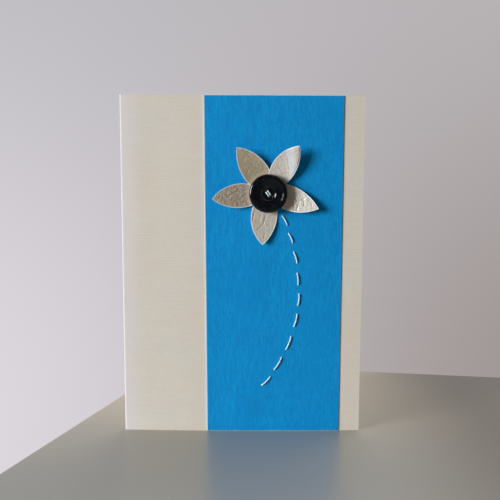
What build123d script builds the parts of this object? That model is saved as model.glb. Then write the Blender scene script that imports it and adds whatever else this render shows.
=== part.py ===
from build123d import *
from math import asin, atan, cos, degrees, sin, sqrt
import os

# A handmade greeting card that stands half open, fold at the left, in millimetres.
# While it is built, X runs along the front leaf from the fold, Y runs away from
# the viewer and Z runs up from the surface that the card stands on.

# The folded sheet
leaf_width = 105.0          # fold to free edge, half of an A5 sheet
leaf_height = 148.0         # foot to top, the short side of an A5 sheet
sheet_thickness = 0.35      # laid card of about 280 grams a square metre
fold_radius = 0.5           # inside radius of the fold
opening_angle = 36.0        # between the two leaves as the card stands
leaf_bow = 1.0              # how far the front leaf's middle stands out from its edges

# The blue strip glued to the front leaf
panel_thickness = 0.3
panel_from_fold = 36.0      # fold to the strip's left edge, at the top
panel_foot_taper = 0.9      # how much further from the fold that edge is at the foot
panel_edge_strip = 9.2      # bare front leaf to the right of the strip
panel_setback = 0.2         # strip to the leaf's top and foot
glue_line = 0.05            # strip to leaf

# The flower
flower_from_fold = 63.6     # fold to the flower's centre
flower_from_top = 41.7      # top edge to the flower's centre
petal_thickness = 0.25
petal_gap = 0.03            # between the petals' stacked roots
petal_crease_margin = 0.35  # button's rim to the line where a petal turns up
petal_crease_radius = 6.0   # how gently it turns
petal_root_margin = 1.4     # paper around the thread holes at a petal's root

# The petals, from the lowest in the stack to the top one. Directions and turns are
# in degrees, anticlockwise from the viewer's right.
petal_names = ("petal_lower", "petal_right", "petal_left", "petal_upper_left",
               "petal_upper_right")
petal_directions = (-96.0, -16.6, 185.5, 124.6, 57.2)   # flower's centre to the tip
petal_reaches = (22.2, 22.5, 24.1, 23.6, 24.0)          # flower's centre to the tip
petal_axis_turns = (-0.5, -5.5, -0.5, 2.5, 0.5)         # own axis from that direction
petal_lengths = (25.0, 27.0, 24.5, 26.0, 23.0)          # root to tip of the leaf shape
petal_left_bulges = (4.9, 4.8, 4.9, 5.4, 5.6)   # axis to the left edge, seen from the root
petal_right_bulges = (6.4, 5.8, 5.5, 5.7, 4.7)  # axis to the right edge
petal_lifts = (8.0, 12.0, 14.0, 15.0, 13.0)     # how steeply each rises off the panel

# The button
button_diameter = 16.5
button_height = 3.2
button_rim_width = 1.9      # the raised rim, outer edge to inner edge
button_dish_depth = 0.6     # rim to the dish's outer edge
button_dish_slope = 0.2     # further fall of the dish towards the middle
button_well_depth = 0.45    # dish to the floor of the well round the holes
button_well_margin = 0.4    # hole to the well's edge
button_wall_slant = 0.3     # how far the walls of rim and well lean
button_under_round = 1.3    # rounding under the edge
button_rim_round = 1.1      # rounding outside the rim
button_inner_round = 0.3    # rounding of the inner corners
button_hole_slack = 0.2     # the thread's strands to the wall of their hole
button_hole_spacing = 2.9   # centre to centre
button_hole_slant = -55.0   # direction of the line through both holes
button_gap = 0.03           # button to the top petal

# The thread
thread_diameter = 0.55
thread_gap = 0.03           # thread to what it lies on
thread_hole_clearance = 0.08
thread_bend = 0.75          # bend radius at a hole, in thread diameters
strand_gap = 0.42           # between the two strands through the button
strand_knot_radius = 1.0
stem_knot_radius = 0.8
stem_tail = 2.5             # first and last hole to the knots inside

# The stem: an arc from below the flower to near the foot, as hand-pricked holes
stem_start_right = 6.0      # flower's centre to the first hole
stem_start_down = 9.8
stem_end_from_fold = 61.6
stem_end_up = 21.0          # foot to the last hole
stem_bulge = 11.4           # how far the arc stands right of the line between its ends
stitch_lengths = (4.5, 4.4, 5.1, 5.3, 5.1, 5.8, 6.3, 6.3, 5.4)
stitch_gaps = (3.7, 4.1, 4.5, 4.0, 3.9, 4.6, 4.2, 3.8)
# How far each hole was pricked to the outside of the smooth arc
hole_wander = (0.2, 0.5, -0.3, 0.1, -0.5, 0.0, -0.5, -0.3, 0.2, 0.0, 0.3, 0.1, 0.2,
               0.2, 0.0, -0.1, 0.2, -0.4)

# What follows from these sizes
fold_outer = fold_radius + sheet_thickness
leaf_slope = 2 * atan(2 * leaf_bow / (leaf_width - fold_outer))
leaf_chord = leaf_width - fold_outer * (1 - sin(leaf_slope))
bow_radius = leaf_chord / 2 / sin(leaf_slope)
bow_centre = Vector(leaf_width - leaf_chord / 2, bow_radius * cos(leaf_slope))
fold_centre = Vector(fold_outer, fold_outer * cos(leaf_slope))
panel_back = bow_radius + glue_line
panel_front = panel_back + panel_thickness
panel_right = leaf_width - panel_edge_strip
thread_radius = thread_diameter / 2
bend_radius = thread_bend * thread_diameter
petal_pitch = petal_thickness + petal_gap
button_seat = petal_gap + len(petal_names) * petal_pitch - petal_gap + button_gap
button_radius = button_diameter / 2
strand_spacing = thread_diameter + strand_gap
button_hole_radius = strand_spacing / 2 + thread_radius + button_hole_slack
well_radius = button_hole_spacing / 2 + button_hole_radius + button_well_margin
strand_reach = strand_spacing / 2 + button_hole_slack - thread_gap
leg_offset = button_hole_spacing / 2 - sqrt(strand_reach**2 - (strand_spacing / 2)**2)
sheet_hole_radius = (strand_spacing + thread_diameter) / 2 + thread_hole_clearance
stem_hole_radius = thread_radius + thread_hole_clearance
stack = panel_thickness + glue_line + sheet_thickness
punch_length = 4 * (stack + button_seat)


def panel_plane(from_fold, up):
    """A plane on the panel's front face: X along the card, Y up, Z to the viewer."""
    lean = asin((from_fold - bow_centre.X) / panel_front)
    outward = Vector(sin(lean), -cos(lean))
    foot = bow_centre + outward * panel_front
    return Plane(
        origin=(foot.X, foot.Y, up),
        x_dir=(cos(lean), sin(lean), 0),
        z_dir=(outward.X, outward.Y, 0),
    )


flower_plane = panel_plane(flower_from_fold, leaf_height - flower_from_top)
thread_direction = Vector(1, 0).rotate(Axis.Z, button_hole_slant)


def leaf_arc(radius):
    """The front leaf's bow at a given radius, seen from above, from fold to free edge."""
    slope = degrees(leaf_slope)
    return CenterArc(bow_centre, radius, -90 - slope, 2 * slope)


def fold_arc(radius):
    """The fold at a given radius, from the front leaf round to the back leaf."""
    start = -90 - degrees(leaf_slope)
    turn = 180 - opening_angle - degrees(leaf_slope)
    return CenterArc(fold_centre, radius, start, -turn)


def make_card_blank():
    """One sheet with a rounded fold: a bowed front leaf and a flat back leaf."""
    outer_leaf = leaf_arc(bow_radius)
    inner_leaf = leaf_arc(bow_radius - sheet_thickness)
    outer_fold = fold_arc(fold_outer)
    inner_fold = fold_arc(fold_radius)
    back_length = (bow_radius - sheet_thickness / 2) * 2 * leaf_slope
    back_run = Vector(back_length, 0).rotate(Axis.Z, opening_angle)
    outer_end = outer_fold @ 1 + back_run
    inner_end = inner_fold @ 1 + back_run
    outline = [
        outer_leaf,
        Line(outer_leaf @ 1, inner_leaf @ 1),
        inner_leaf,
        inner_fold,
        Line(inner_fold @ 1, inner_end),
        Line(inner_end, outer_end),
        Line(outer_end, outer_fold @ 1),
        outer_fold,
    ]
    sheet = extrude(make_face(outline), leaf_height)
    return sheet - button_sheet_holes() - stem_holes()


def make_front_panel():
    """A strip with the front leaf's bow, its left edge cut a little out of true."""
    face = leaf_arc(panel_front)
    back = leaf_arc(panel_back)
    slab = extrude(make_face([face, Line(face @ 1, back @ 1), back, Line(back @ 0, face @ 0)]),
                   leaf_height)
    foot = panel_setback
    top = leaf_height - panel_setback
    outline = Polyline(
        (panel_from_fold + panel_foot_taper, foot),
        (panel_right, foot),
        (panel_right, top),
        (panel_from_fold, top),
        close=True,
    )
    knife = extrude(Plane.XZ * make_face(outline), leaf_width, both=True)
    return (slab & knife) - button_sheet_holes() - stem_holes()


def button_sheet_holes():
    """The two holes that the button's thread takes through every sheet under it."""
    hole = Cylinder(sheet_hole_radius, punch_length)
    return [flower_plane * Pos(side * leg_offset * thread_direction) * hole for side in (-1, 1)]


def make_petal(level):
    """A leaf-shaped petal: flat root under the button, turned up outside its rim.

    Its section along the axis is a flat run, a short arc and a straight rise. The
    section is drawn out sideways and then trimmed to the petal's outline.
    """
    reach = petal_reaches[level]
    lift = petal_lifts[level]
    tip = Vector(reach, 0).rotate(Axis.Z, petal_directions[level])
    axis_turn = petal_directions[level] + petal_axis_turns[level]
    axis = Vector(1, 0).rotate(Axis.Z, axis_turn)
    across = Vector(0, 1).rotate(Axis.Z, axis_turn)
    root = tip - axis * petal_lengths[level]
    middle = (root + tip) / 2
    outline = make_face([
        ThreePointArc(root, middle + across * petal_left_bulges[level], tip),
        ThreePointArc(tip, middle - across * petal_right_bulges[level], root),
    ])
    tab_radius = leg_offset + sheet_hole_radius + petal_root_margin
    outline = outline + Circle(tab_radius)

    low = petal_gap + level * petal_pitch
    crease = button_radius + petal_crease_margin
    flat = Line((-reach, low), (crease, low))
    bend = CenterArc((crease, low + petal_crease_radius), petal_crease_radius, -90, lift)
    rise = Line(bend @ 1, bend @ 1 + Vector(reach, 0).rotate(Axis.Z, lift))
    section = offset_sheet(flat, bend, rise, petal_thickness)
    drawn = extrude(Plane.XZ * section, reach, both=True)
    trimmer = extrude(outline, reach)
    shape = (Rot(0, 0, axis_turn) * drawn) & trimmer
    return flower_plane * shape - button_sheet_holes()


def offset_sheet(flat, bend, rise, thickness):
    """A sheet's section from its lower line: two runs and the arc between them."""
    lift = Vector(0, thickness)
    tilt = lift.rotate(Axis.Z, rise.tangent_angle_at(0))
    upper_flat = Line(flat @ 0 + lift, flat @ 1 + lift)
    upper_bend = CenterArc(bend.arc_center, bend.radius - thickness, -90,
                           rise.tangent_angle_at(0))
    upper_rise = Line(rise @ 0 + tilt, rise @ 1 + tilt)
    return make_face([
        flat, bend, rise, Line(rise @ 1, upper_rise @ 1),
        upper_rise, upper_bend, upper_flat, Line(upper_flat @ 0, flat @ 0),
    ])


def make_button():
    """A turned two-hole button: rounded edge, raised rim, dish and a well at the holes."""
    dish_edge = button_height - button_dish_depth
    dish_low = dish_edge - button_dish_slope
    floor = dish_low - button_well_depth
    rim_inner = button_radius - button_rim_width
    rounded_corners = {
        (button_radius, 0): button_under_round,
        (button_radius, button_height): button_rim_round,
        (rim_inner, button_height): button_inner_round,
        (rim_inner - button_wall_slant, dish_edge): button_inner_round,
        (well_radius + button_wall_slant, dish_low): button_inner_round,
        (well_radius, floor): button_inner_round,
    }
    section = make_face(Polyline((0, 0), *rounded_corners, (0, floor), close=True))
    for corner, radius in rounded_corners.items():
        nearest = section.vertices().sort_by_distance(corner)[0]
        section = fillet(nearest, radius)
    body = revolve(Plane.XZ * section, Axis.Z)
    hole = Cylinder(button_hole_radius, 2 * button_height)
    for side in (-1, 1):
        body = body - Pos(side * button_hole_spacing / 2 * thread_direction) * hole
    return flower_plane * Pos(0, 0, button_seat) * body


def make_button_thread():
    """Two closed strands over the button's bridge, with a knot inside the card."""
    floor = button_height - button_dish_depth - button_dish_slope - button_well_depth
    top = button_seat + floor + thread_gap + thread_radius
    bottom = -(stack + thread_gap + thread_radius)
    loop = Plane.XZ * FilletPolyline(
        (leg_offset, top), (leg_offset, bottom), (-leg_offset, bottom), (-leg_offset, top),
        close=True, radius=bend_radius,
    )
    start = Plane(origin=loop @ 0, z_dir=loop % 0)
    strand = sweep(start * Circle(thread_radius), path=loop)
    knot = Pos(0, 0, bottom + thread_radius - strand_knot_radius) * Sphere(strand_knot_radius)
    turned = flower_plane * Rot(0, 0, button_hole_slant)
    both = [Pos(0, side * strand_spacing / 2, 0) * strand for side in (-1, 1)]
    return turned * (both[0] + both[1] + knot)


def stem_places():
    """Each hole's place on the panel: along the stem's arc, with its hand wander."""
    start = Vector(flower_from_fold + stem_start_right,
                   leaf_height - flower_from_top - stem_start_down)
    end = Vector(stem_end_from_fold, stem_end_up)
    right = (end - start).normalized().rotate(Axis.Z, 90)
    line = ThreePointArc(start, (start + end) / 2 + right * stem_bulge, end)
    total = sum(stitch_lengths) + sum(stitch_gaps)
    walked = 0
    places = []
    for number, wander in enumerate(hole_wander):
        along = walked / total
        outward = (line @ along - line.arc_center).normalized()
        places.append(line @ along + outward * wander)
        if number + 1 < len(hole_wander):
            stitch = stitch_gaps if number % 2 else stitch_lengths
            walked += stitch[number // 2]
    return places


def stem_holes():
    """The pricked holes that the stem's thread goes through."""
    hole = Cylinder(stem_hole_radius, punch_length)
    return [panel_plane(place.X, place.Y) * hole for place in stem_places()]


def make_stem_thread():
    """A running stitch: out at one hole, in at the next, with a knot at each end."""
    front = thread_gap + thread_radius
    back = -(stack + thread_gap + thread_radius)
    places = stem_places()
    first_tail = places[0] + (places[0] - places[1]).normalized() * stem_tail
    last_tail = places[-1] + (places[-1] - places[-2]).normalized() * stem_tail
    route = [panel_plane(first_tail.X, first_tail.Y) * Pos(0, 0, back)]
    for number, place in enumerate(places):
        heights = (front, back) if number % 2 else (back, front)
        route += [panel_plane(place.X, place.Y) * Pos(0, 0, height) for height in heights]
    route.append(panel_plane(last_tail.X, last_tail.Y) * Pos(0, 0, back))
    points = [stop.position for stop in route]
    path = FilletPolyline(*points, radius=bend_radius)
    start = Plane(origin=path @ 0, z_dir=path % 0)
    thread = sweep(start * Circle(thread_radius), path=path)
    knot = Pos(0, 0, thread_radius - stem_knot_radius) * Sphere(stem_knot_radius)
    return thread + [stop * knot for stop in (route[0], route[-1])]


def main():
    """Builds every piece, sets the card on its origin and writes one file for each."""
    pieces = {"card_blank": make_card_blank(), "front_panel": make_front_panel()}
    for level, name in enumerate(petal_names):
        pieces[name] = make_petal(level)
    pieces["button"] = make_button()
    pieces["button_thread"] = make_button_thread()
    pieces["stem_thread"] = make_stem_thread()

    # The origin is under the middle of the standing card's outline box.
    box = Compound([solid for piece in pieces.values() for solid in piece.solids()]).bounding_box()
    middle = box.center()
    os.makedirs("parts", exist_ok=True)
    for name, piece in pieces.items():
        export_step(Pos(-middle.X, -middle.Y, -box.min.Z) * piece, f"parts/{name}.step")


main()
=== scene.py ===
# %% [markdown]
# # A handmade greeting card with a button flower
#
# An ivory card stands half open. A strip of blue card is glued to its front, and on
# the strip sits a flower: five petals cut from embossed pearly paper, held down by a
# black button that is sewn on with white thread. A running stitch makes the stem.
#
# The folded sheet and the blue strip are plain sheets of exact size, so the model's
# own solids can show, with good materials. The petals, the button and the threads are
# small shapes whose relief, roundness or twist matters, so each is worked out here as
# a surface: whole arrays of points from a formula, put into a mesh in one go.

# %% Load the frame
from math import asin, atan, cos, pi, radians, sin, sqrt

import bmesh
import bpy
import numpy as np
from mathutils import Matrix, Vector


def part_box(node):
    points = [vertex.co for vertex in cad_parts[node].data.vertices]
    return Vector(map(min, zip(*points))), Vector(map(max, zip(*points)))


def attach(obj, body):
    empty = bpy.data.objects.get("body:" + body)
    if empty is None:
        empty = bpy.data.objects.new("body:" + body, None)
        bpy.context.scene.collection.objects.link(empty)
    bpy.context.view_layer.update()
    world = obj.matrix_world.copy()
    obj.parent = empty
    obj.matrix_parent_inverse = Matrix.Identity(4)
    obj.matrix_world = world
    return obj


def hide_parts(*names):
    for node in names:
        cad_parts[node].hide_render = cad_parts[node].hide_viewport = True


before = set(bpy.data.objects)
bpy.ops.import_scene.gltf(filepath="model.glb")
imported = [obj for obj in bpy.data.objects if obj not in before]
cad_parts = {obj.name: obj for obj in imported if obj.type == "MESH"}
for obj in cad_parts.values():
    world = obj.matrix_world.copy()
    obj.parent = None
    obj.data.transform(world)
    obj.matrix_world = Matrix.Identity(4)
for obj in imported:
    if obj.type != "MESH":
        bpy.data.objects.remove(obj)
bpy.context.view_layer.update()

# %% [markdown]
# ## Sizes
# These are the card's own sizes in millimetres, the same ones that its solids were
# made from. Blender works in metres, so one factor turns millimetres into metres at
# the moment when points become a mesh.

# %% Sizes in millimetres
MM = 0.001

leaf_width = 105.0
leaf_height = 148.0
sheet_thickness = 0.35
fold_outer = 0.85           # outside radius of the fold
leaf_bow = 1.0              # how far the front leaf bulges
panel_thickness = 0.3
glue_line = 0.05
panel_from_fold = 36.0
panel_foot_taper = 0.9
panel_setback = 0.2

flower_from_fold = 63.6
flower_up = 106.3
button_radius = 8.25
button_height = 3.2
hole_line = radians(-55.0)   # direction of the line through the button's two holes
hole_from_centre = 1.45
leg = 1.01                   # the flower's centre to where the strands go through
thread_radius = 0.275
thread_gap = 0.03
stack = panel_thickness + glue_line + sheet_thickness
print("a leaf is", leaf_width, "x", leaf_height, "mm, the button", 2 * button_radius, "mm across")

# %% [markdown]
# ## Places on the bowed leaf
# The front leaf isn't flat: it bows out by a millimetre, as part of a wide cylinder
# whose axis stands upright behind it. A place on the strip is given by its distance
# from the fold, its height and how far it stands out from the strip's face. Two
# helpers turn such places into the model's coordinates. The second one serves the
# flower, which lies in the flat plane that touches the strip under the button.

# %% From the card's own measures to the model's
leaf_slope = 2 * atan(2 * leaf_bow / (leaf_width - fold_outer))
leaf_chord = leaf_width - fold_outer * (1 - sin(leaf_slope))
bow_radius = leaf_chord / 2 / sin(leaf_slope)
panel_front = bow_radius + glue_line + panel_thickness
bow_middle = leaf_width - leaf_chord / 2

sheet_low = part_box("card_blank")[0]
fold_x = sheet_low[0] / MM
bow_axis_y = sheet_low[1] / MM + bow_radius


def on_panel(from_fold, up, out):
    """Points of the strip in the model's metres.

    The angle round the bow's axis is the arc sine of the distance from the bow's
    middle over the strip's radius. The point lies at that angle, out from the axis.
    """
    lean = np.arcsin((from_fold - bow_middle) / panel_front)
    x = fold_x + bow_middle + np.sin(lean) * (panel_front + out)
    y = bow_axis_y - np.cos(lean) * (panel_front + out)
    return np.stack(np.broadcast_arrays(x, y, up), axis=-1) * MM


flower_lean = asin((flower_from_fold - bow_middle) / panel_front)
flower_origin = on_panel(flower_from_fold, flower_up, 0.0)
flower_right = np.array((cos(flower_lean), sin(flower_lean), 0.0))
flower_out = np.array((sin(flower_lean), -cos(flower_lean), 0.0))
straight_up = np.array((0.0, 0.0, 1.0))


def on_flower(right, up, out):
    """Points of the flower in the model's metres, from its centre on the strip."""
    right, up, out = (np.asarray(part, float)[..., None] for part in (right, up, out))
    offset = right * flower_right + up * straight_up + out * flower_out
    return flower_origin + offset * MM


print("the bow's radius is", round(bow_radius), "mm; the flower sits at", flower_origin.round(4))

# %% [markdown]
# ## From arrays to a mesh
# A mesh is three arrays: the points, the corners of all faces in a row, and where each
# face starts. `foreach_set` takes whole arrays, so no face is added one by one. Edges
# that turn sharply are marked, so that the rest can be shaded smooth.

# %% Mesh helpers
SHARP_TURN = radians(38)
SAME_PLACE = 2e-6           # metres; points closer than this are merged


def new_piece(name, points, faces, marks=None):
    """An object from an (n, 3) array of points and a list of (m, k) arrays of faces."""
    mesh = bpy.data.meshes.new(name)
    corners = np.concatenate([block.ravel() for block in faces])
    sizes = np.concatenate([np.full(len(block), block.shape[1]) for block in faces])
    mesh.vertices.add(len(points))
    mesh.vertices.foreach_set("co", points.astype(np.float32).ravel())
    mesh.loops.add(len(corners))
    mesh.loops.foreach_set("vertex_index", corners.astype(np.int32))
    mesh.polygons.add(len(sizes))
    mesh.polygons.foreach_set("loop_start", (np.cumsum(sizes) - sizes).astype(np.int32))
    for mark, values in (marks or {}).items():
        layer = mesh.attributes.new(mark, "FLOAT", "POINT")
        layer.data.foreach_set("value", values.astype(np.float32).ravel())
    mesh.update(calc_edges=True)
    mesh.validate()
    mesh.shade_smooth()
    mesh.set_sharp_from_angle(angle=SHARP_TURN)
    piece = bpy.data.objects.new(name, mesh)
    bpy.context.scene.collection.objects.link(piece)
    return piece


def grid_faces(index, closed=False):
    """Four-cornered faces between the rows and columns of a grid of point numbers.

    The faces look along rows x columns. A closed grid joins its last column to its
    first.
    """
    if closed:
        index = np.concatenate([index, index[:, :1]], axis=1)
    near, far = index[:-1], index[1:]
    return np.stack([near[:, :-1], far[:, :-1], far[:, 1:], near[:, 1:]], axis=-1).reshape(-1, 4)


def weld(piece):
    """Merges points in the same place and turns every face outwards."""
    work = bmesh.new()
    work.from_mesh(piece.data)
    bmesh.ops.remove_doubles(work, verts=work.verts, dist=SAME_PLACE)
    bmesh.ops.recalc_face_normals(work, faces=work.faces)
    open_edges = sum(len(edge.link_faces) != 2 for edge in work.edges)
    work.to_mesh(piece.data)
    work.free()
    piece.data.set_sharp_from_angle(angle=SHARP_TURN)
    print(piece.name, "has", open_edges, "open edges")
    return piece


def report(piece, what):
    """Prints a piece's size, so that a wrong unit or place shows at once."""
    size = np.array(piece.bound_box).max(axis=0) - np.array(piece.bound_box).min(axis=0)
    print(what, "-", len(piece.data.polygons), "faces,", (size / MM).round(2), "mm")


# %% [markdown]
# A sheet of paper is a surface with a second one behind it and a cut edge all round.
# From the front surface alone the back follows: each point moves back along the
# surface's normal by the paper's thickness.

# %% A sheet from its front surface
def unit(vectors):
    """The same directions, each one long."""
    return vectors / np.linalg.norm(vectors, axis=-1, keepdims=True)


def surface_normals(points):
    """Unit normals of a grid of points: the cross product of its two slopes."""
    return unit(np.cross(np.gradient(points, axis=0), np.gradient(points, axis=1)))


def new_sheet(name, front, thickness, marks=None):
    """A closed sheet: the front grid, the same grid moved back, and four rims."""
    rows, columns = front.shape[:2]
    back = front - surface_normals(front) * thickness * MM
    face = np.arange(rows * columns).reshape(rows, columns)
    rear = face + rows * columns
    faces = [
        grid_faces(face),
        grid_faces(rear)[:, ::-1],
        grid_faces(np.stack([rear[0], face[0]])),
        grid_faces(np.stack([face[-1], rear[-1]])),
        grid_faces(np.stack([face[:, 0], rear[:, 0]])),
        grid_faces(np.stack([rear[:, -1], face[:, -1]])),
    ]
    both = {mark: np.stack([values, values]) for mark, values in (marks or {}).items()}
    points = np.concatenate([front.reshape(-1, 3), back.reshape(-1, 3)])
    return new_piece(name, points, faces, both)


# %% [markdown]
# ## The petals' paper
# The paper was crumpled before it was cut: it has small facets, and a few fine creases
# run through it. Bump in a material would do for the facets, but the photo's light
# rakes over the creases, so both are real relief here. The crumple is a sum of folded
# sine waves, each bent by another wave, which gives facets with soft ridges.

# %% The relief of the embossed paper
FOLD_LENGTH = 2.7           # millimetres, of the widest folds
MEAN_FOLD = 0.64            # the mean of |sin|


def crumple(along, across, random, waves=6):
    """Height between about -1 and 1: a sum of |sin| waves in random directions."""
    height = np.zeros_like(along)
    for wave in range(waves):
        turn, phase, bend, lag = random.uniform(0, 2 * pi, 4)
        length = FOLD_LENGTH / (1 + 0.4 * wave)
        ahead = along * cos(turn) + across * sin(turn)
        aside = across * cos(turn) - along * sin(turn)
        warp = 1.1 * np.sin(2 * pi * aside / (1.9 * length) + bend)
        fold = np.abs(np.sin(pi * ahead / length + phase + warp))
        patch = 0.15 + 0.85 * np.sin(pi * (aside + 0.4 * ahead) / (1.7 * length) + lag)**2
        height += (fold - MEAN_FOLD) * patch / (1 + 0.35 * wave)
    return height / 1.2


def creases(right, up, curves, width=0.26):
    """Creases along smooth curves, each from a first point by a second to a third.

    A point at share t of a curve is (1-t)^2 first + 2t(1-t) second + t^2 third. The
    crease's height falls off with the squared distance to the nearest point. The number
    that comes with a curve is its height: over 0 for a ridge, under 0 for a groove.
    """
    t = np.linspace(0, 1, 40)[:, None]
    height = np.zeros_like(right)
    for size, *points in curves:
        first, second, third = np.array(points, float)
        line = (1 - t)**2 * first + 2 * t * (1 - t) * second + t**2 * third
        off = np.hypot(right[..., None] - line[:, 0], up[..., None] - line[:, 1]).min(axis=-1)
        crease = size * np.exp(-(off / width)**2)
        height = np.where(np.abs(crease) > np.abs(height), crease, height)
    return height


def tilted(right, up, first, second, reach):
    """0 on the line's left side, then rising to 1 at the reach on its right side."""
    ahead = unit(np.subtract(second, first))
    beside = (right - first[0]) * ahead[1] - (up - first[1]) * ahead[0]
    return np.clip(beside / reach, 0, 1)


# %% [markdown]
# ## The petals
# A petal is a leaf shape between two arcs, with a round tab at its root that hides
# under the button. It lies flat there, and turns up all round the button's rim, so
# its height depends on the distance from the flower's centre: flat, then a short arc,
# then a straight rise. That formula on a grid of two parameters gives the surface: one
# runs from root to tip, the other from the right edge to the left.

# %% The petals' sizes, outline and rise
petal_thickness = 0.25
petal_gap = 0.03
petal_crease = button_radius + 0.35
petal_bend = 6.0
petal_tab = 3.25
# The next radius is that of the painted shade round where the thread goes through.
hole_shade_radius = 1.05       # round the two places where the thread goes through the paper
petal_rows, petal_columns = 150, 76
relief_depth = 0.06         # of the crumple
crease_depth = 0.09
fold_rise = 0.3             # how much higher one side of a fold ends up
loose_from = petal_crease - 0.2
loose_to = petal_crease + 2.0
loose_margin = 0.9          # the relief fades out this close to the cut edge
aside_share = 0.85          # how much a step aside counts in the distance to the centre
end_trim = 0.0006           # share of the length left off where both edges meet


def arc_width(from_middle, length, bulge):
    """Half-width of a leaf shape: a circle through both ends that bulges at the middle."""
    radius = (length**2 / 4 + bulge**2) / (2 * bulge)
    inside = np.clip(radius**2 - from_middle**2, 0, None)
    return np.clip(np.sqrt(inside) - (radius - bulge), 0, None)


def rise(distance, lift):
    """Height at a distance from the flower's centre: flat, a short arc, a straight rise."""
    past = np.clip(distance - petal_crease, 0, None)
    arc_end = petal_bend * sin(lift)
    on_arc = petal_bend - np.sqrt(petal_bend**2 - np.minimum(past, arc_end)**2)
    return on_arc + np.clip(past - arc_end, 0, None) * np.tan(lift)


def smooth_step(value, low, high):
    """0 below low, 1 above high, and an S between them."""
    t = np.clip((value - low) / (high - low), 0, 1)
    return t * t * (3 - 2 * t)


# %% One petal
def make_petal(name, level, turn, reach, lean, length, bulges, lift, painted_lightness, mottle, relief,
               seed, curves, folds=()):
    """One petal: its front surface, made a closed sheet.

    Rows run from root to tip and columns from the right edge to the left, both closer
    together at their ends. A point's height is the rise at its distance from the
    flower's centre, plus the relief where the paper lies loose.
    """
    lift = radians(lift)
    tip_along = reach * cos(radians(lean))
    tip_aside = -reach * sin(radians(lean))
    root_along = tip_along - length
    steps = (1 - np.cos(np.linspace(0, pi, petal_rows))) / 2
    inner = end_trim + (1 - 2 * end_trim) * steps
    along = (root_along + (tip_along - root_along) * inner)[:, None]
    middle = (root_along + tip_along) / 2
    tab = np.sqrt(np.clip(petal_tab**2 - along**2, 0, None))
    left = tip_aside + arc_width(along - middle, length, bulges[0])
    right = tip_aside - arc_width(along - middle, length, bulges[1])
    left = np.where(tab > 0, np.maximum(left, tab), left)
    right = np.where(tab > 0, np.minimum(right, -tab), right)
    share = np.sin(np.linspace(-1, 1, petal_columns) * pi / 2)[None, :]
    across = (left + right) / 2 + (left - right) / 2 * share
    along = np.broadcast_to(along, across.shape)

    heading = radians(turn + lean)
    right_of_centre = along * cos(heading) - across * sin(heading)
    above_centre = along * sin(heading) + across * cos(heading)
    random = np.random.default_rng(seed)
    distance = np.hypot(along, aside_share * across)
    margin = np.minimum(np.minimum(left - across, across - right), tip_along - along)
    loose = smooth_step(distance, loose_from, loose_to) * smooth_step(margin, 0.0, loose_margin)
    facets = crumple(along, across, random)
    lines = creases(right_of_centre, above_centre, curves)
    raised = sum(tilted(right_of_centre, above_centre, *fold) for fold in folds)
    low = petal_gap + level * (petal_thickness + petal_gap) + petal_thickness
    relief_height = relief * relief_depth * facets + crease_depth * lines + fold_rise * raised
    height = low + rise(distance, lift) + loose * relief_height

    front = on_flower(right_of_centre, above_centre, height)
    to_hole = [np.hypot(right_of_centre - side * hole_from_centre * cos(hole_line),
                        above_centre - side * hole_from_centre * sin(hole_line))
               for side in (-1, 1)]
    # One mark holds each petal's painted light: how much bluish white its colour takes.
    marks = {"margin": margin, "creases": lines, "raised": np.zeros_like(along) + raised,
             "painted_lightness": np.full_like(along, painted_lightness), "mottle": np.full_like(along, mottle),
             "paper": np.minimum(*to_hole) - hole_shade_radius}
    piece = new_sheet(name, front, petal_thickness, marks)
    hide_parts(name.replace("_paper", ""))
    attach(piece, "root")
    report(piece, name)
    return piece
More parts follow.
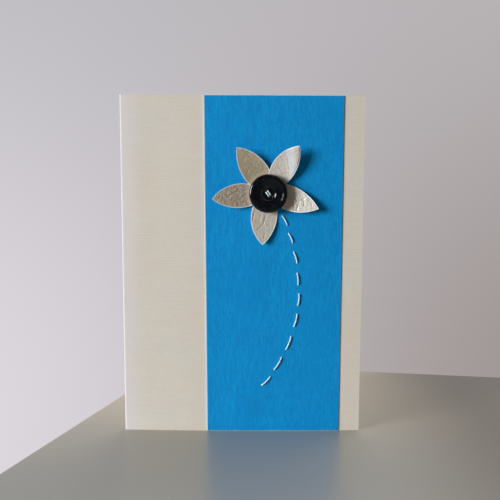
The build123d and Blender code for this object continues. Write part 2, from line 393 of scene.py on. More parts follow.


# %% [markdown]
# The five petals differ in direction, length, width and lift, as cut by hand. Each
# petal's own lightness is painted light: the petals turned towards the window are painted
# towards a bluish white, those turned from it stay darker. The creases and folds are given
# to the right of the flower's centre and above it. Under the button's two holes, where the
# thread goes through, the paper is painted dark: painted shade for the depth seen down the
# holes, as the petals' meshes have no holes there. The mark "paper" is the distance to the
# nearest such place's edge.

# %% Five petals
petals = [
    make_petal(
        "petal_lower_paper", level=0, turn=-96.0, reach=22.2, lean=-0.5, length=25.0,
        bulges=(4.9, 6.4), lift=8.0, painted_lightness=0.6, mottle=0.5, relief=1.1, seed=11,
        curves=[
        (-1.5, (-1.2, -7.1), (-1.0, -9.7), (-1.6, -12.0)),
        (-1.2, (-1.6, -12.0), (-2.6, -14.0), (-4.5, -15.3)),
        (0.9, (-2.4, -7.4), (-2.2, -9.9), (-2.9, -11.8)),
        (-1.5, (-5.7, -5.8), (-5.8, -8.8), (-6.9, -11.8)),
        (0.6, (-1.5, -12.3), (-0.4, -14.0), (-0.8, -16.6))]),
    make_petal(
        "petal_right_paper", level=1, turn=-16.6, reach=22.5, lean=-5.5, length=27.0,
        bulges=(4.8, 5.8), lift=12.0, painted_lightness=0.75, mottle=0.4, relief=1.5, seed=23,
        curves=[
        (0.6, (14.0, -2.9), (13.9, -4.4), (14.3, -6.0)),
        (-1.1, (12.5, -2.7), (11.9, -4.4), (11.0, -5.6)),
        (0.7, (15.2, -0.6), (16.0, -1.7), (16.3, -3.0)),
        (0.6, (12.2, -1.4), (13.8, -2.3), (15.3, -1.4)),
        (-1.2, (15.1, -3.1), (15.6, -4.3), (15.2, -5.2)),
        (-0.8, (17.5, -2.3), (18.3, -3.6), (18.6, -5.1)),
        (-0.7, (10.6, -2.9), (11.3, -4.0), (10.4, -5.3)),
        (-1.3, (12.6, -5.0), (12.8, -5.9), (12.5, -7.0)),
        (-1.0, (13.4, -3.4), (14.4, -2.6), (15.6, -1.9))]),
    make_petal(
        "petal_left_paper", level=2, turn=185.5, reach=24.1, lean=-0.5, length=24.5,
        bulges=(4.9, 5.5), lift=14.0, painted_lightness=0.4, mottle=0.9, relief=2.6, seed=37,
        curves=[
        (0.6, (-11.6, 3.2), (-11.9, 1.5), (-11.5, -1.1)),
        (0.4, (-19.1, 2.3), (-18.5, 0.6), (-18.9, -1.5)),
        (-0.7, (-13.3, -2.4), (-12.6, -4.1), (-12.9, -5.6)),
        (0.4, (-16.3, -1.5), (-15.1, -2.8), (-13.3, -3.0)),
        (-0.4, (-13.4, 3.2), (-12.7, 2.1), (-13.3, 1.1))]),
    make_petal(
        "petal_upper_left_paper", level=3, turn=124.6, reach=23.6, lean=2.5, length=26.0,
        bulges=(5.4, 5.7), lift=15.0, painted_lightness=0.0, mottle=0.6, relief=1.2, seed=41,
        curves=[
        (0.35, (-4.0, 16.3), (-3.6, 13.4), (-2.7, 10.0)),
        (0.25, (-9.5, 17.5), (-9.1, 14.2), (-9.5, 10.0)),
        (-0.25, (-6.6, 15.0), (-7.0, 11.7), (-6.6, 8.3)),
        (0.3, (-2.3, 14.2), (-1.5, 11.7), (-0.6, 9.6))]),
    make_petal(
        "petal_upper_right_paper", level=4, turn=57.2, reach=24.0, lean=0.5, length=23.0,
        bulges=(5.6, 4.7), lift=13.0, painted_lightness=0.75, mottle=0.4, relief=1.1, seed=53,
        curves=[
        (0.9, (7.5, 17.0), (7.4, 13.4), (8.3, 10.4)),
        (0.9, (8.3, 10.4), (8.9, 9.2), (9.8, 8.3)),
        (-1.3, (11.5, 12.4), (11.4, 10.9), (11.5, 9.8)),
        (-0.4, (9.9, 18.7), (10.6, 17.6), (11.1, 16.1)),
        (-0.7, (3.6, 12.5), (4.9, 10.9), (6.2, 8.3)),
        (0.4, (10.2, 15.5), (10.8, 14.2), (10.6, 12.6))],
        folds=[((8.7, 9.6), (7.5, 17.0), 4.0)]),
]

# %% [markdown]
# ## The button
# The button was turned or moulded: a round body with a rim, a shallow dish and a well
# round the two holes. A profile carried round the axis gives all of it but the well's
# floor, which has two holes in it. For the floor each half disc is ruled: straight
# lines run from the round hole to the half disc's outline. The same rays serve the
# underside and the hole's wall, so all the parts share their points and close up.

# %% The button's sizes
button_seat = 1.43          # the underside's height above the strip: five petals lie there
button_rim_width = 1.9
dish_edge = button_height - 0.6
dish_low = dish_edge - 0.2
well_floor = dish_low - 0.45
hole_radius = 0.96
hole_round = 0.12
well_radius = 2.55
button_turns = 144
split_points = 25           # on the line between the well's two halves
floor_rows = 6


def corner_arc(before, corner, after, radius, steps):
    """Points on the arc of a radius that touches both sides of a corner.

    Its centre lies on the line that halves the corner, at the radius over the sine of
    half the corner's angle.
    """
    inward, onward = unit(before - corner), unit(after - corner)
    half = np.arccos(np.clip(inward @ onward, -1, 1)) / 2
    centre = corner + unit(inward + onward) * radius / np.sin(half)
    start = corner + inward * radius / np.tan(half) - centre
    end = corner + onward * radius / np.tan(half) - centre
    turn = np.arccos(np.clip(start @ end / radius**2, -1, 1))
    angles = np.linspace(0, turn, steps)[:, None]
    side = (end - start * np.cos(turn)) / np.sin(turn)
    return centre + np.cos(angles) * start + np.sin(angles) * side


def rounded(corners, steps=7):
    """A line of (across, up) points whose corners are arcs of the radius given third."""
    corners = np.array(corners, float)
    spots = corners[:, :2]
    arcs = [corner_arc(*three, radius, steps)
            for *three, radius in zip(spots, spots[1:], spots[2:], corners[1:, 2])]
    return np.concatenate([spots[:1], *arcs, spots[-1:]])


# %% The button's body
def make_button():
    """The turned body, the two faces with holes and the holes' walls, welded."""
    rim_inner = button_radius - button_rim_width
    profile = rounded([
        (well_radius, well_floor, 0),
        (well_radius + 0.03, well_floor, 0.02),
        (well_radius + 0.22, well_floor + 0.02, 0.3),
        (well_radius + 0.5, dish_low - 0.17, 0.05),
        (well_radius + 0.8, dish_low, 0.5),
        (rim_inner - 0.3, dish_edge, 0.14),
        (rim_inner, button_height, 0.3),
        (button_radius, button_height, 1.1),
        (button_radius, 0, 1.3),
        (well_radius, 0, 0),
    ])
    angles = np.linspace(0, 2 * pi, button_turns, endpoint=False) + hole_line
    ring = np.stack([np.cos(angles), np.sin(angles)], axis=-1)
    body = np.concatenate([profile[:, None, :1] * ring[None], np.broadcast_to(
        profile[:, None, 1:], (len(profile), button_turns, 1))], axis=-1)
    index = np.arange(body.shape[0] * body.shape[1]).reshape(body.shape[:2])
    points = [body.reshape(-1, 3)]
    faces = [grid_faces(index, closed=True)]

    # Half of the circle of the well, and the line that splits it, as seen from a hole.
    half = np.arange(-button_turns // 4, button_turns // 4 + 1)
    arc = well_radius * np.stack([np.cos(2 * pi * half / button_turns),
                                  np.sin(2 * pi * half / button_turns)], axis=-1)
    across = np.linspace(well_radius, -well_radius, split_points)[1:-1]
    split = np.stack([np.zeros_like(across), across], axis=-1)
    outline = np.concatenate([arc, split])
    rays = unit(outline - (hole_from_centre, 0))
    outer_hole = hole_radius + hole_round
    shares = np.linspace(0, 1, floor_rows)[:, None, None]
    flat = (hole_from_centre, 0) + rays * outer_hole
    floor = flat * (1 - shares) + outline * shares
    wall = rounded([(outer_hole + 0.01, well_floor, 0), (hole_radius, well_floor, hole_round),
                    (hole_radius, 0, hole_round), (outer_hole + 0.01, 0, 0)], 5)[1:-1]
    hole = (hole_from_centre, 0) + rays[None] * wall[:, None, :1]

    for turned in (hole_line, hole_line + pi):
        spin = np.array(((cos(turned), sin(turned)), (-sin(turned), cos(turned))))
        for grid, heights, flipped in (
                (floor, well_floor, False), (floor, 0.0, True), (hole, wall[:, 1:], True)):
            grid = grid @ spin
            up = np.broadcast_to(heights, grid.shape[:2])[..., None]
            start = sum(len(block) for block in points)
            index = start + np.arange(grid.shape[0] * grid.shape[1]).reshape(grid.shape[:2])
            block = grid_faces(index, closed=True)
            points.append(np.concatenate([grid, up], axis=-1).reshape(-1, 3))
            faces.append(block[:, ::-1] if flipped else block)
    points = np.concatenate(points)
    placed = on_flower(points[:, 0], points[:, 1], button_seat + points[:, 2])
    return weld(new_piece("button_moulded", placed, faces))


button = make_button()
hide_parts("button")
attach(button, "root")
report(button, "button")

# %% [markdown]
# ## The thread
# Sewing thread is three thin yarns twisted together. Its section is a circle with
# three shallow grooves, which turns as it goes along. The section needs two directions
# square to the thread. One is taken from a guide that always points sideways out of
# the plane in which the thread bends, so the twist runs evenly through every hole.

# %% A twisted thread along a path
TWIST_LENGTH = 1.5          # millimetres for one turn
PLIES = 3
GROOVE = 0.15
thread_sides = 24
arc_points = 9              # of each arc on a thread's route
blunt_end = 0.02            # an open end narrows to the root of this share of its radius


def walked_along(path):
    """The length walked from a path's start to each of its points."""
    return np.concatenate([[0], np.cumsum(np.linalg.norm(np.diff(path, axis=0), axis=-1))])


def new_thread(path, guide, radius, closed=False):
    """A tube round a path of points in millimetres, with a twisted, lobed section.

    At angle a and length s the radius is r * (1 - groove * (1 - |cos(3/2 * (a - t))|)),
    where t is one turn for each twist length.
    """
    length = walked_along(np.concatenate([path, path[:1]]) if closed else path)
    total = length[-1]
    if closed:
        length = length[:-1]
        tangent = unit(np.roll(path, -1, axis=0) - np.roll(path, 1, axis=0))
    else:
        tangent = unit(np.gradient(path, axis=0))
    side = unit(guide - (guide * tangent).sum(axis=-1, keepdims=True) * tangent)
    other = np.cross(tangent, side)
    turns = round(total / TWIST_LENGTH) if closed else total / TWIST_LENGTH
    angle = np.linspace(0, 2 * pi, thread_sides, endpoint=False)[None, :]
    twisted = PLIES / 2 * (angle - 2 * pi * (length / total * turns)[:, None])
    lobed = radius * (1 - GROOVE * (1 - np.abs(np.cos(twisted))))
    if not closed:
        ends = np.minimum(length, total - length)[:, None]
        lobed = lobed * np.sqrt(np.clip(ends / radius, blunt_end, 1))
    ring = np.cos(angle)[..., None] * side[:, None] + np.sin(angle)[..., None] * other[:, None]
    points = path[:, None] + lobed[..., None] * ring
    index = np.arange(points.shape[0] * thread_sides).reshape(-1, thread_sides)
    if closed:
        index = np.concatenate([index, index[:1]])
        faces = [grid_faces(index, closed=True)[:, ::-1]]
    else:
        faces = [grid_faces(index, closed=True)[:, ::-1], index[:1, ::-1], index[-1:]]
    return points.reshape(-1, 3), faces, total


def on_line(at, marks, line):
    """Points of a line, each coordinate interpolated between the marks of its points."""
    return np.stack([np.interp(at, marks, values) for values in line.T], axis=-1)


def round_route(stops, radius, spacing=0.07):
    """A path through the stops: straight runs, with an arc of the radius at each stop."""
    stops = np.array(stops, float)
    threes = zip(stops, stops[1:], stops[2:])
    arcs = [corner_arc(*three, radius, arc_points) for three in threes]
    rough = np.concatenate([stops[:1], *arcs, stops[-1:]])
    walked = walked_along(rough)
    even = np.linspace(0, walked[-1], int(walked[-1] / spacing) + 2)
    return on_line(even, walked, rough)


# %% [markdown]
# A knot is the same thread on a trefoil: a closed curve that passes over and under
# itself three times. Pulled tight it becomes the small lump that stops a thread.

# %% A tight knot
KNOT_DEPTH = 1.1
KNOT_STEPS = 120


def knot_points(centre, right, up, out, size, radius):
    """The trefoil: sin u + 2 sin 2u across, cos u - 2 cos 2u up, -depth * sin 3u out.

    All three are times the size, so the loops are about 5.5 sizes wide.
    """
    u = np.linspace(0, 2 * pi, KNOT_STEPS, endpoint=False)[:, None]
    loop = centre + size * ((np.sin(u) + 2 * np.sin(2 * u)) * right
                            + (np.cos(u) - 2 * np.cos(2 * u)) * up
                            - KNOT_DEPTH * np.sin(3 * u) * out)
    # The guide leans a little, so that it never points along the thread itself.
    guide = np.broadcast_to(out, loop.shape) + 0.01 * right
    return new_thread(loop, guide, radius, closed=True)[:2]


def join(parts):
    """One set of points and faces from several, their point numbers moved on."""
    starts = np.cumsum([0] + [len(points) for points, _ in parts])
    faces = [block + start for (_, blocks), start in zip(parts, starts) for block in blocks]
    return np.concatenate([points for points, _ in parts]), faces


# %% [markdown]
# ## The button's thread
# Two strands go up through one hole, over the bridge between the holes and down
# through the other, and are tied off inside the card. Each strand is one closed loop
# in a plane, so the guide is that plane's normal.

# %% The strands through the button
strand_half = 0.485
strand_bend = 0.41
strand_slack = (0.1, 0.2)   # how far each strand stands up over the bridge
strand_top = button_seat + well_floor + thread_gap + thread_radius
strand_bottom = -(stack + thread_gap + thread_radius)
sewing_knot_behind = 1.0    # from the strands' front side to the knot's middle


def make_button_thread():
    """Two looped strands side by side, and a knot behind the leaf."""
    heading = np.array((cos(hole_line), sin(hole_line), 0.0))
    aside = np.array((-sin(hole_line), cos(hole_line), 0.0))
    outward = np.array((0.0, 0.0, 1.0))
    parts = []
    for side, slack in zip((-strand_half, strand_half), strand_slack):
        corners = [(0, strand_bottom), (leg, strand_bottom), (leg, strand_top),
                   (0, strand_top + slack), (-leg, strand_top), (-leg, strand_bottom),
                   (0, strand_bottom)]
        stops = [run * heading + side * aside + up * outward for run, up in corners]
        path = round_route(stops, strand_bend)[:-1]
        guide = np.broadcast_to(aside, path.shape)
        parts.append(new_thread(path, guide, thread_radius, closed=True)[:2])
    centre = (strand_bottom + thread_radius - sewing_knot_behind) * outward
    parts.append(knot_points(centre, heading, aside, outward, size=0.25, radius=0.34))
    points, faces = join(parts)
    placed = on_flower(points[:, 0], points[:, 1], points[:, 2])
    return new_piece("button_sewing", placed, faces)


button_sewing = make_button_thread()
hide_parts("button_thread")
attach(button_sewing, "root")
report(button_sewing, "button's thread")

# %% [markdown]
# ## The stem
# A running stitch: the thread comes out at one pricked hole and goes in at the next,
# nine times, along an arc that was pricked by hand and so wanders a little. In front
# each stitch arches slightly, because the thread is springy. Behind the leaf it runs
# straight to the next hole. The path is worked out in the strip's own measures and
# then laid on the bow.

# %% The stem's holes
stitches = np.array((4.5, 4.4, 5.1, 5.3, 5.1, 5.8, 6.3, 6.3, 5.4))
gaps = np.array((3.7, 4.1, 4.5, 4.0, 3.9, 4.6, 4.2, 3.8))
wander = np.array((0.2, 0.5, -0.3, 0.1, -0.5, 0.0, -0.5, -0.3, 0.2, 0.0, 0.3, 0.1, 0.2,
                   0.2, 0.0, -0.1, 0.2, -0.4))
stem_start = np.array((flower_from_fold + 6.0, flower_up - 9.8))
stem_end = np.array((61.6, 21.0))
stem_bulge = 11.4


def stem_holes():
    """Holes on the circle through both ends that stands out by the bulge between them.

    The circle's radius is (chord squared / 4 + bulge squared) / (2 * bulge). A hole at
    a share of the stem's length lies at the same share of the arc's angle.
    """
    chord = stem_end - stem_start
    span = np.linalg.norm(chord)
    radius = (span**2 / 4 + stem_bulge**2) / (2 * stem_bulge)
    right = np.array((-chord[1], chord[0])) / span
    centre = (stem_start + stem_end) / 2 + right * (stem_bulge - radius)
    first, last = stem_start - centre, stem_end - centre
    sweep = np.arctan2(first[0] * last[1] - first[1] * last[0], first @ last)
    runs = np.zeros(len(wander))
    runs[1::2] = stitches
    runs[2::2] = gaps
    share = np.cumsum(runs) / runs.sum()
    angle = np.arctan2(first[1], first[0]) + sweep * share
    outward = np.stack([np.cos(angle), np.sin(angle)], axis=-1)
    return centre + outward * (radius + wander[:, None])


holes = stem_holes()
print("the stem's holes run from", holes[0].round(1), "to", holes[-1].round(1))

# %% The stem's thread
stem_tail = 2.5
stitch_arch = 0.2           # how far a stitch stands out at its middle
stitch_sway = 0.2           # and how far it bends to the outside of the stem's curve
front_height = thread_gap + thread_radius
back_height = -(stack + thread_gap + thread_radius)
stem_knot_behind = 0.8
ARCH_SHARES = (0.2, 0.35, 0.5, 0.65, 0.8)
GUIDE_SPAN = 0.03           # share of the stem over which the guide's direction is taken


def make_stem():
    """The running stitch with its two knots, laid on the bowed leaf."""
    first_tail = holes[0] + unit(holes[0] - holes[1]) * stem_tail
    last_tail = holes[-1] + unit(holes[-1] - holes[-2]) * stem_tail
    stops = [(*first_tail, back_height)]
    for number, hole in enumerate(holes):
        heights = (front_height, back_height) if number % 2 else (back_height, front_height)
        stops += [(*hole, height) for height in heights]
        if number % 2 == 0:
            ahead = holes[number + 1] - hole
            aside = unit(np.array((-ahead[1], ahead[0])))
            for share in ARCH_SHARES:
                arch = 4 * share * (1 - share)
                spot = hole + share * ahead + arch * stitch_sway * aside
                stops.append((*spot, front_height + arch * stitch_arch))
    stops.append((*last_tail, back_height))
    path = round_route(stops, strand_bend)
    # The way along the stem, without the steps through the leaf, gives the sideways guide.
    chain = np.concatenate([[first_tail], holes, [last_tail]])
    marks = np.linspace(0, 1, len(chain))
    walked = walked_along(path)
    share = walked / walked[-1]
    ahead = on_line(share + GUIDE_SPAN, marks, chain) - on_line(share - GUIDE_SPAN, marks, chain)
    guide = np.stack([-ahead[:, 1], ahead[:, 0], np.zeros(len(ahead))], axis=-1)
    *thread, total = new_thread(path, guide, thread_radius)
    print("the stem takes", round(total), "mm of thread")
    parts = [thread]
    across, along, outward = np.eye(3)
    for tail in (first_tail, last_tail):
        centre = np.array((*tail, back_height + thread_radius - stem_knot_behind))
        parts.append(knot_points(centre, across, along, outward, size=0.19, radius=0.28))
    points, faces = join(parts)
    return new_piece("stem_stitching", on_panel(points[:, 0], points[:, 1], points[:, 2]), faces)


stem = make_stem()
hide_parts("stem_thread")
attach(stem, "root")
report(stem, "stem")

# %% [markdown]
# ## Writing materials as expressions
# A material is a net of nodes. Two small classes keep it readable. `Wire` is a node's
# output: Python's own operators on it add Math nodes, so `1 - mask` works. They differ
# only in the operation, so one function makes them all. `Shader` is the net: its one
# method `node` adds any node, sets its settings and then its sockets.

# %% One wire of the net
def math_node(operation, swapped=False):
    """A method that adds a Math node: the wire's own value first, or last if swapped."""
    def method(self, other):
        values = (other, self) if swapped else (self, other)
        return self.shader.node("Math", {"operation": operation}, dict(enumerate(values)))
    return method


class Wire:
    """A node's output socket, with arithmetic."""

    def __init__(self, shader, socket):
        self.shader = shader
        self.socket = socket

    __add__ = math_node("ADD")
    __radd__ = math_node("ADD", swapped=True)
    __sub__ = math_node("SUBTRACT")
    __rsub__ = math_node("SUBTRACT", swapped=True)
    __mul__ = math_node("MULTIPLY")
    __rmul__ = math_node("MULTIPLY", swapped=True)
    __truediv__ = math_node("DIVIDE")
    least = math_node("MINIMUM")
    most = math_node("MAXIMUM")

    def sine(self):
        return self.shader.node("Math", {"operation": "SINE"}, {0: self})

    def step(self, low, high):
        """0 below low, 1 above high and an S between them."""
        return self.shader.node("MapRange", {"interpolation_type": "SMOOTHSTEP"},
                                {0: self, 1: low, 2: high})


# %% The net itself
class Shader:
    """The node net of one material or of the world."""

    def __init__(self, tree):
        self.tree = tree

    def node(self, kind, settings=None, sockets=None, output=0):
        """Adds a node. Settings come first, then values or wires for its sockets."""
        made = self.tree.nodes.new("ShaderNode" + kind)
        for name, value in (settings or {}).items():
            setattr(made, name, value)
        for name, value in (sockets or {}).items():
            if isinstance(value, Wire):
                self.tree.links.new(value.socket, made.inputs[name])
            else:
                made.inputs[name].default_value = value
        return Wire(self, made.outputs[output])

    def place(self):
        """Object coordinates in millimetres."""
        spot = self.node("TexCoord", output="Object")
        return self.node("VectorMath", {"operation": "SCALE"}, {0: spot, "Scale": 1000.0})

    def stretched(self, vector, factors):
        return self.node("VectorMath", {"operation": "MULTIPLY"}, {0: vector, 1: factors})

    def part(self, vector, axis):
        return self.node("SeparateXYZ", sockets={0: vector}, output=axis)

    def noise(self, vector, scale, detail=2.0, roughness=0.5, distortion=0.0):
        return self.node("TexNoise", sockets={
            "Vector": vector, "Scale": scale, "Detail": detail, "Roughness": roughness,
            "Distortion": distortion})

    def mix(self, factor, first, second):
        """A blend of two colours, each a wire or red, green and blue."""
        colours = [value if isinstance(value, Wire) else (*value, 1.0)
                   for value in (first, second)]
        return self.node("Mix", {"data_type": "RGBA"},
                         {0: factor, 6: colours[0], 7: colours[1]}, output=2)

    def mark(self, name):
        """A piece's own attribute."""
        return self.node("Attribute", {"attribute_name": name}, output="Fac")

    def bump(self, height, distance, strength=1.0):
        return self.node("Bump", sockets={
            "Height": height, "Distance": distance, "Strength": strength})


# %% New materials and colours
def new_material(name, paint, **constants):
    """A material: paint returns what varies, the constants go on the shader's sockets."""
    material = bpy.data.materials.new(name)
    material.use_nodes = True
    shader = Shader(material.node_tree)
    surface = material.node_tree.nodes["Principled BSDF"]
    for socket, value in constants.items():
        surface.inputs[socket.replace("_", " ")].default_value = value
    for socket, wire in paint(shader).items():
        material.node_tree.links.new(wire.socket, surface.inputs[socket])
    print(name, "takes", len(material.node_tree.nodes), "nodes")
    return material


def colour(red, green, blue):
    """Linear values of a colour given as it looks on a screen, 0 to 255."""
    screen = np.array((red, green, blue)) / 255
    linear = np.where(screen <= 0.04045, screen / 12.92, ((screen + 0.055) / 1.055) ** 2.4)
    return tuple(float(value) for value in linear)


def wear(pieces, material):
    """Puts one material on each of the pieces."""
    for piece in pieces:
        piece.data.materials.clear()
        piece.data.materials.append(material)


# %% [markdown]
# ## The ivory card
# Laid card shows faint lines about 1.2 mm apart, left by the wires of the mould. They
# run level across this card. Between them the pulp is slightly uneven. Towards the fold
# the sheet is painted paler: painted light, where the window's light catches the sheet
# near the fold. The pressed fold itself is a little greyer. The lines are sine waves of
# the height, made unsteady by noise, both in the colour and as a fine bump.
# The same bump carries a slow random wave, as no sheet lies quite flat. Heights in it
# are in millimetres. The leaf's own bend isn't in it: that is the solid's form.

# %% Ivory laid card
LAID_PITCH = 1.22           # millimetres
SHEET_WAVE = 0.5            # the slow wave's full height, as the noise goes from 0 to 1
IVORY_COOL = colour(219, 215, 206)
IVORY_WARM = colour(221, 214, 201)
IVORY_DEEP = colour(195, 188, 172)
IVORY_FOLD_PAINTED_LIGHT = colour(228, 224, 228)
IVORY_CREASE = colour(198, 197, 202)


def paint_ivory(net):
    place = net.place()
    height = net.part(place, 2)
    wobble = net.noise(net.stretched(place, (0.05, 0.05, 0.4)), 1.0, 2.0)
    ridges = (height * (2 * pi / LAID_PITCH) + wobble * 2.4).sine() * 0.5 + 0.5
    strength = net.noise(net.stretched(place, (0.12, 0.12, 0.9)), 1.0, 3.0)
    lines = ridges * strength.step(0.25, 0.7)
    pulp = net.noise(place, 0.55, 4.0, 0.62)
    fibres = net.noise(net.stretched(place, (1.0, 1.0, 3.0)), 3.0, 3.0, 0.65)
    cloud = net.noise(place, 0.035, 2.0)
    base = net.mix(cloud.step(0.3, 0.7), IVORY_COOL, IVORY_WARM)
    base = net.mix(lines * 0.2 + pulp.step(0.35, 0.75) * 0.12, base, IVORY_DEEP)
    from_fold = net.part(place, 0) - fold_x
    crease = 1 - from_fold.step(0.25, 1.1)
    flecks = net.noise(net.stretched(place, (2.0, 2.0, 0.5)), 1.6, 3.0).step(0.35, 0.65)
    # Painted light: paler towards the fold, where the window's light catches the sheet.
    base = net.mix((1 - from_fold.step(0.0, 12.0)) * 0.6, base, IVORY_FOLD_PAINTED_LIGHT)
    base = net.mix(crease * (flecks * 0.3 + 0.5), base, IVORY_CREASE)
    fine = (lines * 0.5 + pulp * 0.7 + fibres * 0.5) * 0.015
    wave = net.noise(net.stretched(place, (1.0, 1.0, 0.6)), 0.03, 1.0) * SHEET_WAVE
    return {"Base Color": base, "Roughness": pulp * 0.2 + 0.74,
            "Normal": net.bump(fine + wave, MM)}


ivory_card = new_material("ivory laid card", paint_ivory, Specular_IOR_Level=0.3)
wear([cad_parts["card_blank"]], ivory_card)

# %% [markdown]
# ## The blue card
# Dyed through and uncoated, with a grain that runs up the strip: long soft streaks and
# fine mottling. A hair's breadth along the left, upper and lower edges is painted paler:
# a painted highlight where the window's light catches those cut edges. The right edge,
# turned from the light, stays blue. How far a point is from them comes from its place
# alone.

# %% Blue card
STRIP_WAVE = 0.5            # the glued strip lies a little uneven
BLUE_DEEP = colour(0, 133, 202)
BLUE_BRIGHT = colour(0, 152, 222)
BLUE_LIGHT = colour(40, 170, 235)
BLUE_PAINTED_EDGE_HIGHLIGHT = colour(214, 232, 242)


def paint_blue(net):
    place = net.place()
    x, z = net.part(place, 0), net.part(place, 2)
    streaks = net.noise(net.stretched(place, (1.0, 1.0, 0.16)), 1.3, 3.0, 0.6)
    mottle = net.noise(net.stretched(place, (1.0, 1.0, 0.45)), 2.4, 3.0, 0.62)
    cloud = net.noise(net.stretched(place, (1.0, 1.0, 0.4)), 0.06, 2.0)
    base = net.mix(streaks.step(0.3, 0.72), BLUE_DEEP, BLUE_BRIGHT)
    base = net.mix(mottle.step(0.4, 0.75) * 0.45, base, BLUE_LIGHT)
    base = net.mix(cloud.step(0.35, 0.7) * 0.3, base, BLUE_DEEP)
    left_edge = fold_x + panel_from_fold + panel_foot_taper * (1 - z / leaf_height)
    margin = (z - panel_setback).least(leaf_height - panel_setback - z)
    # Painted highlight: the left, upper and lower cut edges are painted paler, as the window's
    # light catches them.
    painted_edge_highlight = (1 - margin.step(0.02, 0.15)) * 0.6
    painted_edge_highlight = painted_edge_highlight.most(1 - (x - left_edge).step(0.16, 0.4))
    base = net.mix(painted_edge_highlight, base, BLUE_PAINTED_EDGE_HIGHLIGHT)
    fine = (streaks * 0.5 + mottle) * 0.022
    wave = net.noise(net.stretched(place, (1.0, 1.0, 0.4)), 0.055, 1.0) * STRIP_WAVE
    return {"Base Color": base, "Roughness": mottle * 0.2 + 0.72,
            "Normal": net.bump(fine + wave, MM)}


blue_card = new_material("blue card", paint_blue, Specular_IOR_Level=0.15)
wear([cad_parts["front_panel"]], blue_card)

# %% [markdown]
# ## Pearly paper
# The petals' paper has a thin pearly coat: champagne, with patches that lean to rose,
# tan and grey green, and a faint metallic gleam. The creases' ridges are painted lighter
# and their grooves darker: painted highlight and painted shade on the relief. The coat is
# only on the front. The back is plain paper, and along the cut edge its white core shows.
# The direction in which a face looks tells the sides apart, so one material does for the
# whole petal.

# %% Pearly embossed paper
PEARL_GREEN = colour(190, 192, 164)
PEARL_SAND = colour(222, 209, 178)
PEARL_TAN = colour(218, 182, 130)
PEARL_ROSE = colour(230, 196, 188)
PEARL_PAINTED_LIGHT = colour(238, 244, 255)
PEARL_FLECK_AND_GROOVE_SHADE = colour(130, 108, 96)
PAPER_EDGE = colour(240, 252, 255)
PAPER_BACK = colour(206, 202, 190)
HOLE_PAINTED_SHADE = colour(14, 12, 10)


def paint_pearl(net):
    place = net.place()
    mottle = net.mark("mottle")
    patches = net.noise(place, 0.45, 2.0, 0.55, 0.7)
    specks = net.noise(place, 0.9, 2.0, 0.6, 0.6)
    other = net.noise(net.stretched(place, (1.3, 1.0, 0.7)), 0.6, 2.0, 0.5, 0.6)
    base = net.mix(patches.step(0.4, 0.62), PEARL_GREEN, PEARL_SAND)
    # Painted light: each petal's own lightness mixes in a bluish white, most on the petals turned
    # towards the window.
    base = net.mix(net.mark("painted_lightness") * 0.6, base, PEARL_PAINTED_LIGHT)
    base = net.mix(other.step(0.46, 0.66) * mottle, base, PEARL_TAN)
    base = net.mix(specks.step(0.48, 0.66) * mottle, base, PEARL_ROSE)
    lines = net.mark("creases")
    # Dark flecks are the paper's own colour; the same dark colour also paints shade into the
    # grooves below.
    flecks = net.noise(place, 1.8, 2.0, 0.6)
    base = net.mix(flecks.step(0.5, 0.62) * mottle * 0.4, base, PEARL_FLECK_AND_GROOVE_SHADE)
    # Painted highlight on the creases' ridges, and painted shade in their grooves.
    base = net.mix(lines.step(0.1, 1.0) * 0.8, base, PEARL_PAINTED_LIGHT)
    base = net.mix((0 - lines).step(0.1, 1.0) * 0.45, base, PEARL_FLECK_AND_GROOVE_SHADE)
    raised = net.mark("raised")
    # Painted light: the rising side of the fold is painted lighter, for the window's gleam on it.
    base = net.mix(raised.step(0.0, 0.1) * (1 - raised.step(0.7, 1.0)) * 0.6, base, PEARL_PAINTED_LIGHT)
    normal = net.node("NewGeometry", output="True Normal")
    facing = net.node("VectorMath", {"operation": "DOT_PRODUCT"},
                      {0: normal, 1: tuple(flower_out)}, output="Value")
    front = facing.step(0.45, 0.6)
    coated = front * net.mark("margin").step(0.2, 0.42)
    base = net.mix(coated, net.mix(front, PAPER_BACK, PAPER_EDGE), base)
    # Painted shade: the paper under the button's holes is painted dark, for the depth seen down
    # them.
    base = net.mix(net.mark("paper").step(-0.05, 0.1), HOLE_PAINTED_SHADE, base)
    grain = net.noise(place, 3.2, 3.0, 0.6)
    return {"Base Color": base, "Metallic": coated * (0.12 + specks * 0.15),
            "Roughness": 0.85 - coated * (0.3 + patches * 0.12),
            "Coat Weight": coated * (0.6 + patches * 0.4),
            "Normal": net.bump(grain + specks, 0.00005, 0.5)}


pearl_paper = new_material("pearly paper", paint_pearl, Coat_Roughness=0.33, Coat_IOR=2.6)
wear(petals, pearl_paper)

# %% [markdown]
# ## Button and thread
# The button is polished black plastic. Handling leaves faint smudges, so its roughness
# varies a little. The same pattern paints faint bluish patches into its colour: a painted
# reflection of the room. Cotton thread is matt and slightly fuzzy: fine noise stands for
# the fibres, and the grooves between the yarns are real. Light goes some way into it.

# %% Black plastic and white cotton
BLACK_DEEP = colour(3, 6, 13)
BLACK_PAINTED_REFLECTION = colour(10, 20, 32)
COTTON_WHITE = colour(224, 250, 253)
COTTON_WARM = colour(210, 241, 247)


def paint_black(net):
    place = net.place()
    smears_and_reflection = net.noise(place, 0.5, 4.0, 0.6, 0.8)
    dust = net.noise(place, 3.0, 2.0).step(0.62, 0.8)
    # Painted reflection: bluish patches in the colour follow the smudges.
    base = net.mix(smears_and_reflection.step(0.4, 0.7), BLACK_DEEP, BLACK_PAINTED_REFLECTION)
    return {"Base Color": base, "Roughness": 0.07 + smears_and_reflection.step(0.4, 0.75) * 0.08 + dust * 0.1,
            "Normal": net.bump(smears_and_reflection, 0.00001, 0.3)}


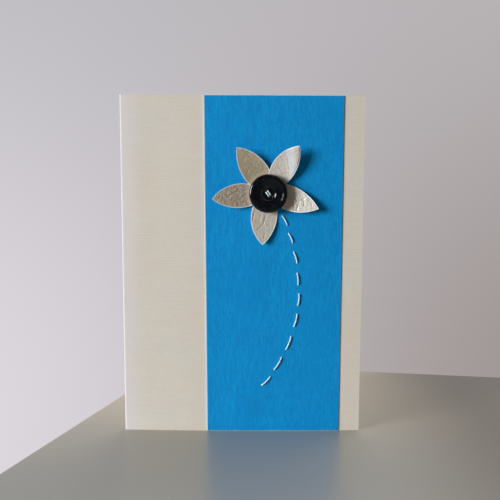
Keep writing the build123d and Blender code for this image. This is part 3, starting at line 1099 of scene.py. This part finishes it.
def paint_cotton(net):
    place = net.place()
    fuzz = net.noise(place, 9.0, 3.0, 0.7)
    shade = net.noise(place, 1.1, 2.0)
    base = net.mix(shade.step(0.3, 0.7), COTTON_WARM, COTTON_WHITE)
    return {"Base Color": base, "Roughness": fuzz * 0.15 + 0.78,
            "Normal": net.bump(fuzz, 0.00006, 0.6)}


wear([button], new_material("polished black plastic", paint_black))
wear([button_sewing, stem], new_material(
    "white cotton thread", paint_cotton, Specular_IOR_Level=0.3, Subsurface_Weight=0.8,
    Subsurface_Radius=(1.0, 1.0, 1.0), Subsurface_Scale=0.0005, Sheen_Weight=0.4,
    Sheen_Roughness=0.4))

# %% [markdown]
# ## The table
# The card stands on a pale shelf with a lacquered, satin surface. Behind the card it is
# painted lighter and warmer, painted light, and towards the right it is painted darker,
# painted shade where the window's light falls off. One corner of the shelf is behind the
# card. What lies beyond is the world's own colour.

# %% A plain pale shelf
shelf_outline = np.array(((-42.8, 78.6), (-351.0, -873.0), (850.0, -873.0), (850.0, -52.0))) * MM
shelf_thickness = 0.02      # metres, like the outline; its first corner is behind the card


def make_table():
    """A plain slab whose top is at height 0."""
    top = np.concatenate([shelf_outline, np.zeros((4, 1))], axis=1)
    points = np.concatenate([top, top - (0, 0, shelf_thickness)])
    walls = np.array([(corner, corner + 4, (corner + 1) % 4 + 4, (corner + 1) % 4)
                      for corner in range(4)])
    ends = np.array(((0, 1, 2, 3), (7, 6, 5, 4)))
    return new_piece("table", points, [ends, walls])


table = make_table()
report(table, "shelf")

# %% The shelf's lacquer
TABLE_LIGHT_PAINTED_SPAN = (-90.0, 50.0)     # from front to back, in millimetres
TABLE_SHADE_PAINTED_SPAN = (35.0, 120.0)     # from left to right
TABLE_COOL = colour(146, 148, 144)
TABLE_WARM = colour(150, 149, 143)
TABLE_LIGHT_PAINTED_BEHIND = colour(188, 181, 162)
TABLE_SHADE_PAINTED_RIGHT = colour(98, 93, 84)


def paint_table(net):
    place = net.place()
    cloud = net.noise(place, 0.01, 2.0)
    base = net.mix(cloud, TABLE_COOL, TABLE_WARM)
    # Painted light behind the card, then painted shade towards the right.
    base = net.mix(net.part(place, 1).step(*TABLE_LIGHT_PAINTED_SPAN), base, TABLE_LIGHT_PAINTED_BEHIND)
    base = net.mix(net.part(place, 0).step(*TABLE_SHADE_PAINTED_SPAN), base, TABLE_SHADE_PAINTED_RIGHT)
    return {"Base Color": base, "Roughness": cloud * 0.06 + 0.29}


wear([table], new_material("plain table", paint_table, IOR=2.1))

# %% [markdown]
# ## Light
# In the photo soft daylight comes from a window at the left, in front of the card and
# a little above it. The room behind the camera is dim, and a pale wall stands behind
# the card. So one large area lamp is the window, and a small warm one overhead stands
# for the light that the ceiling throws back. The world goes from a dim warm grey on the
# camera's side to a pale wall on the far side. That wall is lighter low down at the
# left, where the window lights it, and darker low down at the right.

# %% Window and ceiling
def add_lamp(name, towards, distance, size, watts, tint):
    """A flat lamp at a distance from the flower, which it shines on."""
    lamp = bpy.data.lights.new(name, "AREA")
    lamp.shape = "RECTANGLE"
    lamp.size, lamp.size_y = size
    lamp.energy = watts
    lamp.color = tint
    holder = bpy.data.objects.new(name, lamp)
    holder.location = Vector(flower_origin) + towards * distance
    holder.rotation_euler = towards.to_track_quat("Z", "Y").to_euler()
    bpy.context.scene.collection.objects.link(holder)
    print("the", name, "gives", watts, "W from", distance, "m away")


window_turn = radians(31.5)       # in front of the card's plane
window_rise = radians(10)
window_towards = Vector((-cos(window_turn) * cos(window_rise),
                         -sin(window_turn) * cos(window_rise), sin(window_rise)))
ceiling_towards = Vector((0.2, 0.35, 0.9)).normalized()
add_lamp("window", window_towards, distance=5.0, size=(2.0, 2.2), watts=325.0,
         tint=(0.985, 0.985, 1.0))
add_lamp("ceiling", ceiling_towards, distance=0.85, size=(0.7, 0.7), watts=4.8,
         tint=(1.0, 0.93, 0.80))

# %% The room around
ROOM_DIM = (0.075, 0.06, 0.038)
WALL_HIGH = colour(191, 189, 195), colour(184, 179, 181)    # at the left and at the right
WALL_LOW = colour(224, 219, 226), colour(154, 145, 142)
AHEAD_SPAN = (-0.75, 0.7)       # from behind the camera to the wall
SIDE_SPAN = (-0.5, 0.5)
RISE_SPAN = (-0.35, 0.35)

world = bpy.data.worlds.new("room")
bpy.context.scene.world = world
world.use_nodes = True
room = Shader(world.node_tree)
direction = room.node("TexCoord", output="Generated")
ahead = room.part(direction, 1).step(*AHEAD_SPAN)
sideways = room.part(direction, 0).step(*SIDE_SPAN)
low = 1 - room.part(direction, 2).step(*RISE_SPAN)
wall = room.mix(low, room.mix(sideways, *WALL_HIGH), room.mix(sideways, *WALL_LOW))
world.node_tree.links.new(room.mix(ahead, ROOM_DIM, wall).socket,
                          world.node_tree.nodes["Background"].inputs["Color"])
print("the room takes", len(world.node_tree.nodes), "nodes")

# %% [markdown]
# ## Camera
# The photo's four card corners give the camera's place and tilt: about 29 cm in front
# of the card, at the height of its upper third, looking down a little.

# %% Camera
camera_place = Vector((0.0034, -0.3203, 0.1151))
tilt_down, camera_roll = radians(6.545), radians(0.181)

camera_data = bpy.data.cameras.new("camera")
camera_data.sensor_width = 36.0
camera_data.lens = 48.46
camera = bpy.data.objects.new("camera", camera_data)
bpy.context.scene.collection.objects.link(camera)
look = Vector((0.0, cos(tilt_down), -sin(tilt_down)))
level_right = Vector((1.0, 0.0, 0.0))
level_up = level_right.cross(look)
camera_right = level_right * cos(camera_roll) + level_up * sin(camera_roll)
camera_up = -level_right * sin(camera_roll) + level_up * cos(camera_roll)
turned = Matrix((camera_right, camera_up, -look)).transposed().to_4x4()
camera.matrix_world = Matrix.Translation(camera_place) @ turned
bpy.context.scene.camera = camera
bpy.context.scene.view_settings.view_transform = "Standard"
print("the camera stands at", [round(part / MM) for part in camera_place], "mm")
